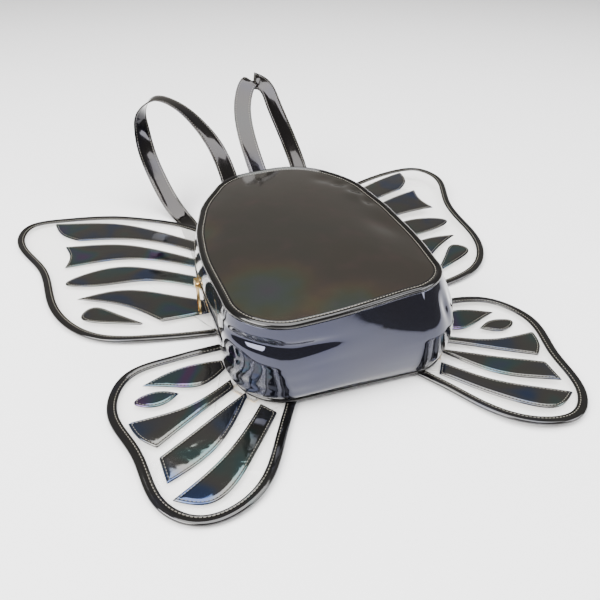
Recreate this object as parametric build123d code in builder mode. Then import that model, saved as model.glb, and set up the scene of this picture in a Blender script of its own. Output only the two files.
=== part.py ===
from build123d import *
import os
from math import cos, radians, sin

# Winged mini backpack, lying on its back with the front panel up. Millimetres, +Z up.
# X runs across the bag, +Y points to the strap end, and Z = 0 is the surface that it lies on.
# Outlines are drawn about the bag's own centre, which stands at BAG_Y in the part's frame, so
# that the origin is the middle of the whole object's footprint.
BAG_Y = -40.45

# Bag outline, right half: corner x, corner y, corner radius
OUTLINE_CORNERS = [(97.5, -146, 44), (97.5, 20, 150), (85, 84, 100), (44, 138, 60)]
SEAM_Y = -100           # side seams, zipper ends and the front panel's fold line
FLAP_GAP = 0.3          # clearance between the flap and the fixed shell at the fold

# Heights of the layers, back to front
BACK_Z = 4.5            # outside of the back panel
WALL_Z = 7.5            # gussets start on the back panel's welt
REAR_EDGE_Z = 42        # zipper edge of the rear gusset
FRONT_EDGE_Z = 50       # zipper edge of the front gusset
ZIP_Z = 46              # middle of the zipper chain
RIM_Z = 82              # gussets end under the front panel
FRONT_Z = 85            # outside of the front panel

BULGE = 6.5             # how far the gussets swell out at the zipper
WALL = 1.6              # gusset thickness
WELT_WIDTH = 2.0
RIM_WIDTH = 6.5         # topstitched rolled edge of the front panel
LINING = 0.6
LINING_INSET = 2.4

# Zipper
CHAIN_DEPTH = 2.4       # measured into the bag
CHAIN_HEIGHT = 2.1      # one half of the chain
CHAIN_GAP = 0.1         # from the chain's middle to each half
TAPE = 0.6
TAPE_HEIGHT = 6.0
SLIDER_Y = -6
SLIDER_SIZE = (12, 11)  # along the track, across it
PLATE = 1.2
PLATE_GAP = 0.3
PLATE_PITCH = 5         # from the outer plate's face to the inner plate's
PULL_LENGTH = 36
PULL_WIDTH = 9
PULL_WIRE = 1.8

# Straps and their hardware
STRAP_WIDTH = 22
STRAP = 1.6
STRAP_HIGH = 2.1        # strap's middle where it passes over the patch and through the slider
STRAP_X = 80
BAR = 2.4
BAR_HEIGHT = 1.15
PATCH = 1.2
PATCH_SIZE = (84, 36)
PATCH_Y = 114
GLIDE_SIZE = (28, 16)
GLIDE_Y = -30
GLIDE_HEIGHT = 4.2
GLIDE_POST = 6
GLIDE_BRIDGE = 3
RING_SIZE = (28, 11)
RING_CENTRE = (91, -118)
RING_ANGLE = 55
RING = 1.2
TAB_SIZE = (20, 12)
TAB_REACH = 6           # from the ring's middle to the tab's
TAB_Z = STRAP_HIGH + STRAP / 2 + 0.1

# Wings
BORDER_Z = 1.9
BORDER = 2.6
BORDER_WIDTH = 8.5
PVC = 0.5
PVC_Z = BORDER_Z + (BORDER - PVC) / 2
PVC_INSET = 2.5         # the clear sheet stops this far inside the folded border
STRIP = 0.85            # thickness of the sewn-on strips
STRIP_GAP = 0.4         # strips stay this far inside the border

# Root lines of the right wings: a point on the line and the direction that leads outboard
UPPER_ROOT = ((99.2, 15), (cos(radians(7.4)), sin(radians(7.4))))
LOWER_ROOT = ((101.5, -118.3), (cos(radians(-25)), sin(radians(-25))))

UPPER_OUTLINE = [
    (44, 124), (62, 170), (100, 212), (160, 243), (225, 258), (268, 252), (281, 222), (258, 140),
    (246, 55), (205, -10), (150, -28), (80, -37),
]
LOWER_OUTLINE = [
    (78, -49), (140, -54), (185, -66), (204, -110), (190, -165), (180, -212), (155, -236),
    (110, -228), (76, -182), (50, -136),
]

# Sewn-on strips of the right wings. Each strip is a list of smooth runs that meet at corners.
UPPER_STRIPS = [
    [[(58, 128), (85, 155), (150, 215), (238, 247)], [(238, 247), (230, 215), (212, 195)],
     [(212, 195), (140, 172), (68, 106)]],
    [[(72, 92), (110, 130), (160, 167), (228, 185)], [(228, 185), (224, 160), (230, 136)],
     [(230, 136), (160, 132), (80, 82)]],
    [[(84, 64), (140, 104), (200, 117), (230, 100), (205, 86), (145, 78), (86, 42)]],
    [[(86, 18), (130, 46), (180, 68), (220, 65)], [(220, 65), (175, 36), (143, 0)],
     [(143, 0), (86, 2)]],
    [[(161, 2), (188, 31), (207, 44), (217, 33), (195, 13), (163, 0)]],
]
LOWER_STRIPS = [
    [[(173, -87), (145, -75), (101, -74)], [(101, -74), (101, -86)],
     [(101, -86), (128, -102), (152, -95), (173, -87)]],
    [[(145, -106), (166, -98), (182, -106), (168, -116), (145, -106)]],
    [[(100, -101), (140, -122), (189, -128)], [(189, -128), (182, -148), (171, -160)],
     [(171, -160), (135, -135), (100, -113)]],
    [[(92, -121), (130, -144), (171, -170)], [(171, -170), (169, -195)],
     [(169, -195), (130, -174), (92, -126)]],
    [[(84, -138), (120, -178), (168, -210)], [(168, -210), (145, -221), (105, -192), (74, -152)]],
]

# Strap routes about the bag's centre: x, y, z of the band's middle, and the heading of the
# band's width in degrees from +X. They run from the top anchor over the loop to the lower ring.
LEFT_STRAP = [
    (-24, 102, 2.1, 0), (-24, 142, 2.1, 0), (-23, 168, 8, 0), (-22, 188, 28, 0), (-25, 209, 60, 5),
    (-34, 233, 89, 18), (-51, 262, 113, 42), (-73, 288, 129, 62), (-94, 303, 132, 72),
    (-109, 305, 119, 55), (-114, 298, 95, 25), (-112, 284, 68, 0), (-105, 264, 42, -8),
    (-95, 241, 18, -8), (-85, 222, 4, 0), (-80, 206, 0.82, 0), (-80, 38, 0.82, 0), (-80, 20, 2.1, 0),
    (-80, -72, 2.1, 0), (-82, -94, 2.1, -20), (-87, -111, 2.1, -50),
]
RIGHT_STRAP = [
    (24, 102, 2.1, 0), (24, 142, 2.1, 0), (23, 168, 8, -4), (20, 190, 28, -12), (15, 216, 58, -18),
    (11, 246, 90, -18), (14, 276, 117, -12), (24, 297, 136, 0), (38, 309, 143, 12),
    (52, 309, 137, 16), (62, 302, 117, 8), (70, 290, 92, 0), (79, 272, 62, -8), (84, 252, 36, -12),
    (84, 230, 12, -8), (82, 216, 3, 0), (80, 206, 0.82, 0), (80, 38, 0.82, 0), (80, 20, 2.1, 0),
    (80, -72, 2.1, 0), (82, -94, 2.1, 20), (87, -111, 2.1, 50),
]


# ---------------------------------------------------------------------------------- helpers

def level(height, x=0.0, y=0.0):
    """Horizontal plane at a height, centred on a point of the bag."""
    return Plane(origin=(x, BAG_Y + y, height))


def save(piece, name):
    """Label a finished piece and write it."""
    piece.part.label = name
    export_step(piece.part, f"parts/{name}.step")


with BuildSketch() as bag_outline:
    half = [(x, y) for x, y, radius in OUTLINE_CORNERS]
    with BuildLine():
        Polyline(*half, *[(-x, y) for x, y in reversed(half)], close=True)
    make_face()
    for corner_x, corner_y, corner_radius in OUTLINE_CORNERS:
        sharp = bag_outline.vertices().filter_by(
            lambda v: abs(abs(v.X) - corner_x) < 0.01 and abs(v.Y - corner_y) < 0.01)
        fillet(sharp, radius=corner_radius)


def grown(amount):
    """The bag's outline, grown outwards by an amount."""
    if amount == 0:
        return bag_outline.sketch
    return offset(bag_outline.sketch, amount=amount, mode=Mode.PRIVATE)


def slab(low, high, grow):
    """Add a flat slab with the bag's outline."""
    with BuildSketch(level(low)) as profile:
        add(grown(grow))
    extrude(profile.sketch, amount=high - low)


def ring(low, high, outer, inner):
    """Add a flat-sided ring that follows the bag's outline."""
    with BuildSketch(level(low)) as profile:
        add(grown(outer))
        add(grown(inner), mode=Mode.SUBTRACT)
    extrude(profile.sketch, amount=high - low)


def wall(sections, thickness):
    """Add a wall that follows the bag's outline through (height, grow) sections."""
    for skin, mode in ((0, Mode.ADD), (thickness, Mode.SUBTRACT)):
        profiles = []
        for height, grow in sections:
            with BuildSketch(level(height)) as profile:
                add(grown(grow - skin))
            profiles.append(profile.sketch.face())
        loft(profiles, ruled=True, mode=mode)


def keep_strap_side(gap=0.0):
    """Cut away what lies below the side seams."""
    split(bisect_by=Plane(origin=(0, BAG_Y + SEAM_Y + gap, 0), z_dir=(0, 1, 0)), keep=Keep.TOP)


def keep_foot_side():
    """Cut away what lies above the side seams."""
    split(bisect_by=Plane(origin=(0, BAG_Y + SEAM_Y, 0), z_dir=(0, 1, 0)), keep=Keep.BOTTOM)


# ------------------------------------------------------------------------------- bag shell

with BuildPart() as back_panel:
    slab(BACK_Z, WALL_Z, -WELT_WIDTH)
save(back_panel, "back_panel")

with BuildPart() as rear_welt:
    ring(BACK_Z, WALL_Z, 0, -WELT_WIDTH)
save(rear_welt, "rear_welt")

with BuildPart() as rear_gusset:
    wall([(WALL_Z, 0), (REAR_EDGE_Z, BULGE)], WALL)
    keep_strap_side()
save(rear_gusset, "rear_gusset")

with BuildPart() as bottom_gusset:
    wall([(WALL_Z, 0), (REAR_EDGE_Z, BULGE), (FRONT_EDGE_Z, BULGE), (RIM_Z, 0)], WALL)
    keep_foot_side()
save(bottom_gusset, "bottom_gusset")

with BuildPart() as front_gusset:
    wall([(FRONT_EDGE_Z, BULGE), (RIM_Z, 0)], WALL)
    keep_strap_side(FLAP_GAP)
save(front_gusset, "front_gusset")

with BuildPart() as front_rim:
    ring(RIM_Z, FRONT_Z, 0, -RIM_WIDTH)
    keep_strap_side(FLAP_GAP)
save(front_rim, "front_rim")

with BuildPart() as front_rim_lower:
    ring(RIM_Z, FRONT_Z, 0, -RIM_WIDTH)
    keep_foot_side()
save(front_rim_lower, "front_rim_lower")

with BuildPart() as front_panel:
    slab(RIM_Z, FRONT_Z, -RIM_WIDTH)
    keep_strap_side(FLAP_GAP)
save(front_panel, "front_panel")

with BuildPart() as front_panel_lower:
    slab(RIM_Z, FRONT_Z, -RIM_WIDTH)
    keep_foot_side()
save(front_panel_lower, "front_panel_lower")

# The linings are thin cups: the rear one lines the back and the whole of the foot, and the
# front one lines the flap.
LINING_SPLIT_Z = ZIP_Z - 0.5
LINING_TOP_Z = RIM_Z - 0.6

with BuildPart() as lining_rear:
    slab(WALL_Z + 0.1, LINING_TOP_Z, -LINING_INSET)
    with BuildSketch(level(WALL_Z + 0.1 + LINING)):
        add(grown(-LINING_INSET - LINING))
    extrude(amount=LINING_TOP_Z, mode=Mode.SUBTRACT)
    with BuildSketch(level(LINING_SPLIT_Z)):
        with Locations((0, SEAM_Y)):
            Rectangle(300, 300, align=(Align.CENTER, Align.MIN))
    extrude(amount=LINING_TOP_Z, mode=Mode.SUBTRACT)
save(lining_rear, "lining_rear")

with BuildPart() as lining_front:
    slab(ZIP_Z + 0.5, LINING_TOP_Z, -LINING_INSET)
    with BuildSketch(level(ZIP_Z + 0.5)):
        add(grown(-LINING_INSET - LINING))
    extrude(amount=LINING_TOP_Z - LINING - ZIP_Z - 0.5, mode=Mode.SUBTRACT)
    keep_strap_side(FLAP_GAP)
save(lining_front, "lining_front")

# ---------------------------------------------------------------------------------- zipper

CHAIN_OUT = BULGE - 0.7             # chain stands just inside the gussets' outer faces
TAPE_OUT = BULGE - WALL             # tape is sewn to the gussets' inner faces


def zipper_half(direction, tape_name, chain_name, gap):
    """Write one tape and one half of the chain; direction is +1 for front and -1 for rear."""
    inner_z = ZIP_Z + direction * CHAIN_GAP
    outer_z = inner_z + direction * CHAIN_HEIGHT
    tape_z = outer_z + direction * TAPE_HEIGHT
    with BuildPart() as chain:
        ring(min(inner_z, outer_z), max(inner_z, outer_z), CHAIN_OUT, CHAIN_OUT - CHAIN_DEPTH)
        keep_strap_side(gap)
    save(chain, chain_name)
    with BuildPart() as tape:
        wall([(outer_z, TAPE_OUT - 0.1), (tape_z, TAPE_OUT - 1.5)], TAPE)
        keep_strap_side(gap)
    save(tape, tape_name)


zipper_half(-1, "zipper_tape_rear", "zipper_chain_rear", 0)
zipper_half(1, "zipper_tape_front", "zipper_chain_front", FLAP_GAP)

SIDE_X = OUTLINE_CORNERS[1][0] + BULGE      # side wall at the zipper

with BuildPart() as zipper_end_stops:
    with BuildSketch(level(ZIP_Z - 3)):
        with Locations((SIDE_X - 2, SEAM_Y - 1.2), (2 - SIDE_X, SEAM_Y - 1.2)):
            Rectangle(0.8, 2.4)
    extrude(amount=6)
save(zipper_end_stops, "zipper_end_stops")

# The slider's two plates stand outside and inside the chain. Its bridge is an arch that the
# top bar of the pull passes through, so the pull hangs down the side wall and swings up.
PLATE_X = -SIDE_X - PLATE_GAP - PLATE             # outer face of the outer plate
BRIDGE_WIDTH = 3.6
BRIDGE_REACH = 8.4
BRIDGE_POST = 1.6
BRIDGE_CAVITY = 2.8
SLIDER_FACE = Plane(origin=(PLATE_X, BAG_Y + SLIDER_Y, ZIP_Z), x_dir=(0, 1, 0), z_dir=(-1, 0, 0))

with BuildPart() as zipper_slider:
    with BuildSketch(SLIDER_FACE, SLIDER_FACE.offset(-PLATE_PITCH)):
        RectangleRounded(*SLIDER_SIZE, radius=2.5)
    extrude(amount=-PLATE)
    post_y = (BRIDGE_REACH - BRIDGE_POST) / 2
    with BuildSketch(SLIDER_FACE):
        with Locations((0, -post_y), (0, post_y)):
            Rectangle(BRIDGE_WIDTH, BRIDGE_POST)
    extrude(amount=BRIDGE_CAVITY)
    with BuildSketch(SLIDER_FACE.offset(BRIDGE_CAVITY)):
        Rectangle(BRIDGE_WIDTH, BRIDGE_REACH)
    extrude(amount=PLATE)
save(zipper_slider, "zipper_slider")

PULL_X = PLATE_X - BRIDGE_CAVITY / 2        # pivot of the pull, inside the bridge
with BuildPart() as pull_tab:
    with BuildSketch(Plane(origin=(PULL_X - PULL_WIRE / 2, BAG_Y + SLIDER_Y, ZIP_Z),
                           x_dir=(0, 1, 0), z_dir=(1, 0, 0))):
        with Locations((0, (PULL_WIRE - PULL_LENGTH) / 2)):
            RectangleRounded(PULL_WIDTH, PULL_LENGTH, radius=3.2)
            RectangleRounded(PULL_WIDTH - 2 * PULL_WIRE, PULL_LENGTH - 2 * PULL_WIRE, radius=1.4,
                             mode=Mode.SUBTRACT)
    extrude(amount=PULL_WIRE)
save(pull_tab, "pull_tab")

# ---------------------------------------------------------------------------------- straps

with BuildPart() as strap_patch:
    with BuildSketch(level(0, y=PATCH_Y)):
        RectangleRounded(*PATCH_SIZE, radius=8)
    extrude(amount=PATCH)
save(strap_patch, "strap_patch")


def band(route, name):
    """Write a strap as a flat band lofted through the stations of its route."""
    points = [Vector(x, BAG_Y + y, z) for x, y, z, heading in route]
    with BuildPart() as strap:
        for index, (x, y, z, heading) in enumerate(route):
            ahead = points[min(index + 1, len(points) - 1)]
            behind = points[max(index - 1, 0)]
            along = (ahead - behind).normalized()
            across = Vector(cos(radians(heading)), sin(radians(heading)), 0)
            across = (across - along * across.dot(along)).normalized()
            with BuildSketch(Plane(origin=points[index], x_dir=across, z_dir=along)):
                Rectangle(STRAP_WIDTH, STRAP)
        loft(ruled=True)
    save(strap, name)


def strap_glide(side, name):
    """Write the flat metal slider that the strap threads through."""
    width, length = GLIDE_SIZE
    with BuildPart() as glide:
        with BuildSketch(level(0, side * STRAP_X, GLIDE_Y)):
            Rectangle(width, length)
            Rectangle(width - 2 * BAR, length - 2 * BAR, mode=Mode.SUBTRACT)
        extrude(amount=BAR_HEIGHT)
        with BuildSketch(level(0, side * STRAP_X, GLIDE_Y)):
            with Locations(((BAR - width) / 2, 0), ((width - BAR) / 2, 0)):
                Rectangle(BAR, GLIDE_POST)
        extrude(amount=GLIDE_HEIGHT)
        with BuildSketch(level(GLIDE_HEIGHT - BAR_HEIGHT, side * STRAP_X, GLIDE_Y)):
            Rectangle(width, GLIDE_BRIDGE)
        extrude(amount=BAR_HEIGHT)
    save(glide, name)


def corner_hardware(side, ring_name, tab_name):
    """Write the lower ring and the folded tab that holds its inner bar."""
    spot = (side * RING_CENTRE[0], RING_CENTRE[1])
    turn = side * RING_ANGLE
    with BuildPart() as corner_ring:
        with BuildSketch(level(0, *spot)):
            RectangleRounded(*RING_SIZE, radius=2, rotation=turn)
            Rectangle(RING_SIZE[0] - 2 * BAR, RING_SIZE[1] - 2 * BAR, rotation=turn,
                      mode=Mode.SUBTRACT)
        extrude(amount=RING)
    save(corner_ring, ring_name)
    outward = Vector(side * sin(radians(RING_ANGLE)), -cos(radians(RING_ANGLE)))
    with BuildPart() as tab:
        with BuildSketch(level(TAB_Z, *spot)):
            with Locations((-TAB_REACH * outward.X, -TAB_REACH * outward.Y)):
                Rectangle(*TAB_SIZE, rotation=turn)
        extrude(amount=BACK_Z - TAB_Z)
    save(tab, tab_name)


band(LEFT_STRAP, "left_strap")
band(RIGHT_STRAP, "right_strap")
for side, word in ((-1, "left"), (1, "right")):
    strap_glide(side, f"{word}_strap_slider")
    corner_hardware(side, f"{word}_ring", f"{word}_ring_tab")

# ----------------------------------------------------------------------------------- wings


def closed_face(runs):
    """Face bounded by smooth runs of points that meet at corners."""
    with BuildSketch(mode=Mode.PRIVATE) as face:
        with BuildLine() as edge:
            for run in runs:
                if len(run) > 2:
                    Spline(*run)
                else:
                    Line(*run)
            if (edge.line @ 1 - edge.line @ 0).length > 0.01:
                Line(edge.line @ 1, edge.line @ 0)
        make_face()
    return face.sketch


def inset(outline, distance):
    """Points of a clockwise outline moved inwards, five for each of its own."""
    edge = Edge.make_spline([Vector(*point) for point in outline])
    count = 5 * len(outline)
    points = []
    for index in range(count + 1):
        along = edge % (index / count)
        points.append(edge @ (index / count) + Vector(along.Y, -along.X) * distance)
    return points


def root_x(root, y):
    """X of a root line at a given Y."""
    (point_x, point_y), (out_x, out_y) = root
    return point_x - (y - point_y) * out_y / out_x


def polygon(points):
    """Face with straight edges."""
    with BuildSketch(mode=Mode.PRIVATE) as face:
        with BuildLine():
            Polyline(*points, close=True)
        make_face()
    return face.sketch


# What the turning part of each wing leaves free: all that lies inboard of its root line.
UPPER_CLEAR = polygon([(0, -80), (root_x(UPPER_ROOT, -80), -80), (root_x(UPPER_ROOT, 230), 230),
                       (0, 230)])
LOWER_CLEAR = polygon([(0, -260), (root_x(LOWER_ROOT, -260), -260), (root_x(LOWER_ROOT, 0), 0),
                       (0, 0)])
# The roots of the wings are sewn under the bag's welt. The lower ones stop at the strap's ring.
TUCK = 3                # depth of a root under the welt
ROOT_GAP = 0.3          # clearance between a sewn root and the turning part
RING_NOTCH = (-147, -96)


def root_region(root, low, high, notch=None):
    """What lies between the welt and a root line."""
    with BuildSketch() as region:
        near = [(root_x(root, y) - ROOT_GAP, y) for y in (low, high)]
        add(polygon([(0, low), *near, (0, high)]))
        add(grown(-TUCK), mode=Mode.SUBTRACT)
        if notch is not None:
            with Locations((0, (notch[0] + notch[1]) / 2)):
                Rectangle(300, notch[1] - notch[0], mode=Mode.SUBTRACT)
    return region.sketch


UPPER_ROOT_REGION = root_region(UPPER_ROOT, -80, 230)
LOWER_ROOT_REGION = root_region(LOWER_ROOT, -260, 0, RING_NOTCH)


def plate(height, thickness, add_faces, cut_faces, keep_face, flip):
    """Extrude the sum of some faces, less others, mirrored for a left wing."""
    with BuildSketch(level(height)) as profile:
        for face in add_faces:
            add(face)
        for face in cut_faces:
            add(face, mode=Mode.SUBTRACT)
        if keep_face is not None:
            add(keep_face, mode=Mode.INTERSECT)
        if flip:
            mirror(about=Plane.YZ, mode=Mode.REPLACE)
    return extrude(profile.sketch, amount=thickness, mode=Mode.PRIVATE)


def save_plate(solids, name, pocket=None):
    """Write a plate, less the pocket that another plate lies in."""
    with BuildPart() as piece:
        add(solids)
        if pocket is not None:
            add(pocket, mode=Mode.SUBTRACT)
    save(piece, name)


def wing(place, outline, clear, strips, flip):
    """Write the turning part of one wing: border, clear sheet and strips."""
    blank = closed_face([outline])
    inner = closed_face([inset(outline, BORDER_WIDTH)])
    sheet = closed_face([inset(outline, PVC_INSET)])
    field = closed_face([inset(outline, BORDER_WIDTH + STRIP_GAP)])
    panel = plate(PVC_Z, PVC, [sheet], [clear], None, flip)
    border = plate(BORDER_Z, BORDER, [blank], [inner, clear], None, flip)
    save_plate(panel, f"{place}_wing_panel")
    save_plate(border, f"{place}_wing_border", pocket=panel)
    for number, runs in enumerate(strips, start=1):
        strip = plate(PVC_Z + PVC, STRIP, [closed_face(runs)], [clear], field, flip)
        save_plate(strip, f"{place}_wing_strip_{number}")


def sewn_roots(side, flip):
    """Write the parts of one side's wings that are sewn flat to the bag."""
    panels, borders = [], []
    for outline, region in ((UPPER_OUTLINE, UPPER_ROOT_REGION),
                            (LOWER_OUTLINE, LOWER_ROOT_REGION)):
        blank = closed_face([outline])
        inner = closed_face([inset(outline, BORDER_WIDTH)])
        sheet = closed_face([inset(outline, PVC_INSET)])
        with BuildSketch() as hem:
            add(blank)
            add(bag_outline.sketch, mode=Mode.INTERSECT)
        panels.append(plate(PVC_Z, PVC, [sheet], [], region, flip))
        borders.append(plate(BORDER_Z, BORDER, [blank], [inner], region, flip))
        borders.append(plate(BORDER_Z, BORDER, [hem.sketch], [], region, flip))
    with BuildPart() as panel:
        for solids in panels:
            add(solids)
    save(panel, f"{side}_wing_root_panel")
    with BuildPart() as border:
        for solids in borders:
            add(solids)
        for solids in panels:
            add(solids, mode=Mode.SUBTRACT)
    save(border, f"{side}_wing_root_border")


for side, flip in (("right", False), ("left", True)):
    wing(f"{side}_upper", UPPER_OUTLINE, UPPER_CLEAR, UPPER_STRIPS, flip)
    wing(f"{side}_lower", LOWER_OUTLINE, LOWER_CLEAR, LOWER_STRIPS, flip)
    sewn_roots(side, flip)
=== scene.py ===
import math

import bmesh
import bpy
import numpy as np
from mathutils import Matrix, Vector, geometry


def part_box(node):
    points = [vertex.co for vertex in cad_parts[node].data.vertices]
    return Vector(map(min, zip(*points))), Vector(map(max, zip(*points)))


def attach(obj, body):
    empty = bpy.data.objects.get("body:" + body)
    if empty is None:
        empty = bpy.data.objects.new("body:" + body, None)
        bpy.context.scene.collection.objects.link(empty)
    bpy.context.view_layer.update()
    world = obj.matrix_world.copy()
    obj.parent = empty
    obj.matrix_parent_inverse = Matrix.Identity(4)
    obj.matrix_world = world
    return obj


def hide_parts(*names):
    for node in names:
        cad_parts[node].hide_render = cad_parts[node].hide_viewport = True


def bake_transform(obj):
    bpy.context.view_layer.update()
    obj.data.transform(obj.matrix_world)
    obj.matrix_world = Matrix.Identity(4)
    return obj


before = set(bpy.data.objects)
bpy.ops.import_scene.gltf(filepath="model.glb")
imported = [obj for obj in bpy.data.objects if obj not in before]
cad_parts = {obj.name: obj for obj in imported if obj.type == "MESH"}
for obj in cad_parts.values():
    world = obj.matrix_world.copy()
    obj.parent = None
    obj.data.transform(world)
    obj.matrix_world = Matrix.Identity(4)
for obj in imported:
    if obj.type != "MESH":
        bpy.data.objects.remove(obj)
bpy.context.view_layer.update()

# Winged mini backpack in black patent faux leather, lying on its back. Shapes are drawn in
# millimetres about the bag's own centre, as in the CAD, and made in metres in the row frame.
BACK_PANEL_FOOT = -144
BAG_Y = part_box("back_panel")[0].y * 1000 - BACK_PANEL_FOOT
MM = 0.001

# Bag outline, right half: corner x, corner y, corner radius
OUTLINE_CORNERS = [(97.5, -146, 44), (97.5, 20, 150), (85, 84, 100), (44, 138, 60)]
SEAM_Y = -100
WALL_Z, REAR_EDGE_Z, ZIP_Z, FRONT_EDGE_Z, RIM_Z, FRONT_Z = 7.5, 42, 46, 50, 82, 85
BULGE = 6.5

UPPER_OUTLINE = [
    (44, 124), (62, 170), (100, 212), (160, 243), (225, 258), (268, 252), (281, 222), (258, 140),
    (246, 55), (205, -10), (150, -28), (80, -37),
]
LOWER_OUTLINE = [
    (78, -49), (140, -54), (185, -66), (204, -110), (190, -165), (180, -212), (155, -236),
    (110, -228), (76, -182), (50, -136),
]
UPPER_STRIPS = [
    [[(58, 128), (85, 155), (150, 215), (238, 247)], [(238, 247), (230, 215), (212, 195)],
     [(212, 195), (140, 172), (68, 106)]],
    [[(72, 92), (110, 130), (160, 167), (228, 185)], [(228, 185), (224, 160), (230, 136)],
     [(230, 136), (160, 132), (80, 82)]],
    [[(84, 64), (140, 104), (200, 117), (230, 100), (205, 86), (145, 78), (86, 42)]],
    [[(86, 18), (130, 46), (180, 68), (220, 65)], [(220, 65), (175, 36), (143, 0)],
     [(143, 0), (86, 2)]],
    [[(161, 2), (188, 31), (207, 44), (217, 33), (195, 13), (163, 0)]],
]
LOWER_STRIPS = [
    [[(173, -87), (145, -75), (101, -74)], [(101, -74), (101, -86)],
     [(101, -86), (128, -102), (152, -95), (173, -87)]],
    [[(145, -106), (166, -98), (182, -106), (168, -116), (145, -106)]],
    [[(100, -101), (140, -122), (189, -128)], [(189, -128), (182, -148), (171, -160)],
     [(171, -160), (135, -135), (100, -113)]],
    [[(92, -121), (130, -144), (171, -170)], [(171, -170), (169, -195)],
     [(169, -195), (130, -174), (92, -126)]],
    [[(84, -138), (120, -178), (168, -210)], [(168, -210), (145, -221), (105, -192), (74, -152)]],
]
# Strap routes: x, y, z of the band's middle, and the heading of its width in degrees
LEFT_STRAP = [
    (-24, 102, 2.1, 0), (-24, 142, 2.1, 0), (-23, 168, 8, 0), (-22, 188, 28, 0), (-25, 209, 60, 5),
    (-34, 233, 89, 18), (-51, 262, 113, 42), (-73, 288, 129, 62), (-94, 303, 132, 72),
    (-109, 305, 119, 55), (-114, 298, 95, 25), (-112, 284, 68, 0), (-105, 264, 42, -8),
    (-95, 241, 18, -8), (-85, 222, 4, 0),
]
RIGHT_STRAP = [
    (24, 102, 2.1, 0), (24, 142, 2.1, 0), (23, 168, 8, -4), (20, 190, 28, -12), (15, 216, 58, -18),
    (11, 246, 90, -18), (14, 276, 117, -12), (24, 297, 136, 0), (38, 309, 143, 12),
    (52, 309, 137, 16), (62, 302, 117, 8), (70, 290, 92, 0), (79, 272, 62, -8), (84, 252, 36, -12),
    (84, 230, 12, -8), (82, 216, 3, 0),
]
UNDER_BAG = [
    (80, 206, 0.9, 0), (80, 130, 0.9, 0), (80, 38, 0.9, 0), (80, 20, 2.1, 0), (80, -72, 2.1, 0),
    (82, -94, 2.1, 20), (87, -111, 2.1, 50),
]
LEFT_STRAP += [(-x, y, z, -heading) for x, y, z, heading in UNDER_BAG]
RIGHT_STRAP += UNDER_BAG


# ---- mesh helpers

def row(points):
    """Bag millimetres to row metres."""
    points = np.array(points, float)
    return (points + np.array([0, BAG_Y, 0])) * MM


def placed(name, data):
    """New object in the scene."""
    piece = bpy.data.objects.new(name, data)
    bpy.context.scene.collection.objects.link(piece)
    return piece


def make(name, points, faces, material):
    """Mesh object from points in bag millimetres."""
    mesh = bpy.data.meshes.new(name)
    mesh.from_pydata([tuple(p) for p in row(points)], [], [tuple(int(i) for i in f) for f in faces])
    mesh.validate()
    mesh.update()
    mesh.polygons.foreach_set("use_smooth", [True] * len(mesh.polygons))
    mesh.materials.append(material)
    piece = placed(name, mesh)
    return piece


def grid_faces(rows_count, columns, wrap_rows=False, wrap_columns=False, flip=False):
    """Quads between successive rows of points."""
    faces = []
    for i in range(rows_count if wrap_rows else rows_count - 1):
        for j in range(columns if wrap_columns else columns - 1):
            a = i * columns + j
            b = i * columns + (j + 1) % columns
            c = ((i + 1) % rows_count) * columns + (j + 1) % columns
            d = ((i + 1) % rows_count) * columns + j
            faces.append((a, d, c, b) if flip else (a, b, c, d))
    return faces


def natural_spline(points, step):
    """Smooth curve through points, sampled about every step."""
    points = np.array(points, float)
    if len(points) == 2:
        count = max(2, int(np.linalg.norm(points[1] - points[0]) / step) + 1)
        return points[0] + (points[1] - points[0]) * np.linspace(0, 1, count)[:, None]
    gaps = np.linalg.norm(np.diff(points, axis=0), axis=1)
    knots = np.concatenate([[0], np.cumsum(gaps)])
    size = len(points)
    system = np.zeros((size, size))
    right = np.zeros((size, points.shape[1]))
    system[0, 0] = system[-1, -1] = 1
    for i in range(1, size - 1):
        system[i, i - 1] = gaps[i - 1]
        system[i, i] = 2 * (gaps[i - 1] + gaps[i])
        system[i, i + 1] = gaps[i]
        right[i] = 6 * ((points[i + 1] - points[i]) / gaps[i]
                        - (points[i] - points[i - 1]) / gaps[i - 1])
    bend = np.linalg.solve(system, right)
    where = np.linspace(0, knots[-1], max(3, int(knots[-1] / step) + 1))
    piece = np.clip(np.searchsorted(knots, where, side="right") - 1, 0, size - 2)
    gap = gaps[piece][:, None]
    left = (knots[piece + 1] - where)[:, None] / gap
    ahead = (where - knots[piece])[:, None] / gap
    return (left * points[piece] + ahead * points[piece + 1]
            + ((left ** 3 - left) * bend[piece] + (ahead ** 3 - ahead) * bend[piece + 1])
            * gap ** 2 / 6)


def resample(line, count, closed):
    """Points spaced evenly along a polyline."""
    line = np.array(line, float)
    if closed:
        line = np.vstack([line, line[:1]])
    along = np.concatenate([[0], np.cumsum(np.linalg.norm(np.diff(line, axis=0), axis=1))])
    where = np.linspace(0, along[-1], count + 1)[:-1] if closed else np.linspace(0, along[-1], count)
    return np.stack([np.interp(where, along, line[:, k]) for k in range(line.shape[1])], 1)


def length_of(line):
    """Length of a polyline."""
    return float(np.linalg.norm(np.diff(np.array(line), axis=0), axis=1).sum())


def directions(line, closed):
    """Unit directions along a polyline."""
    if closed:
        change = np.roll(line, -1, 0) - np.roll(line, 1, 0)
    else:
        change = np.gradient(line, axis=0)
    return change / np.maximum(np.linalg.norm(change, axis=1), 1e-9)[:, None]


BATCH = 400     # points measured at once, to save memory


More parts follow.
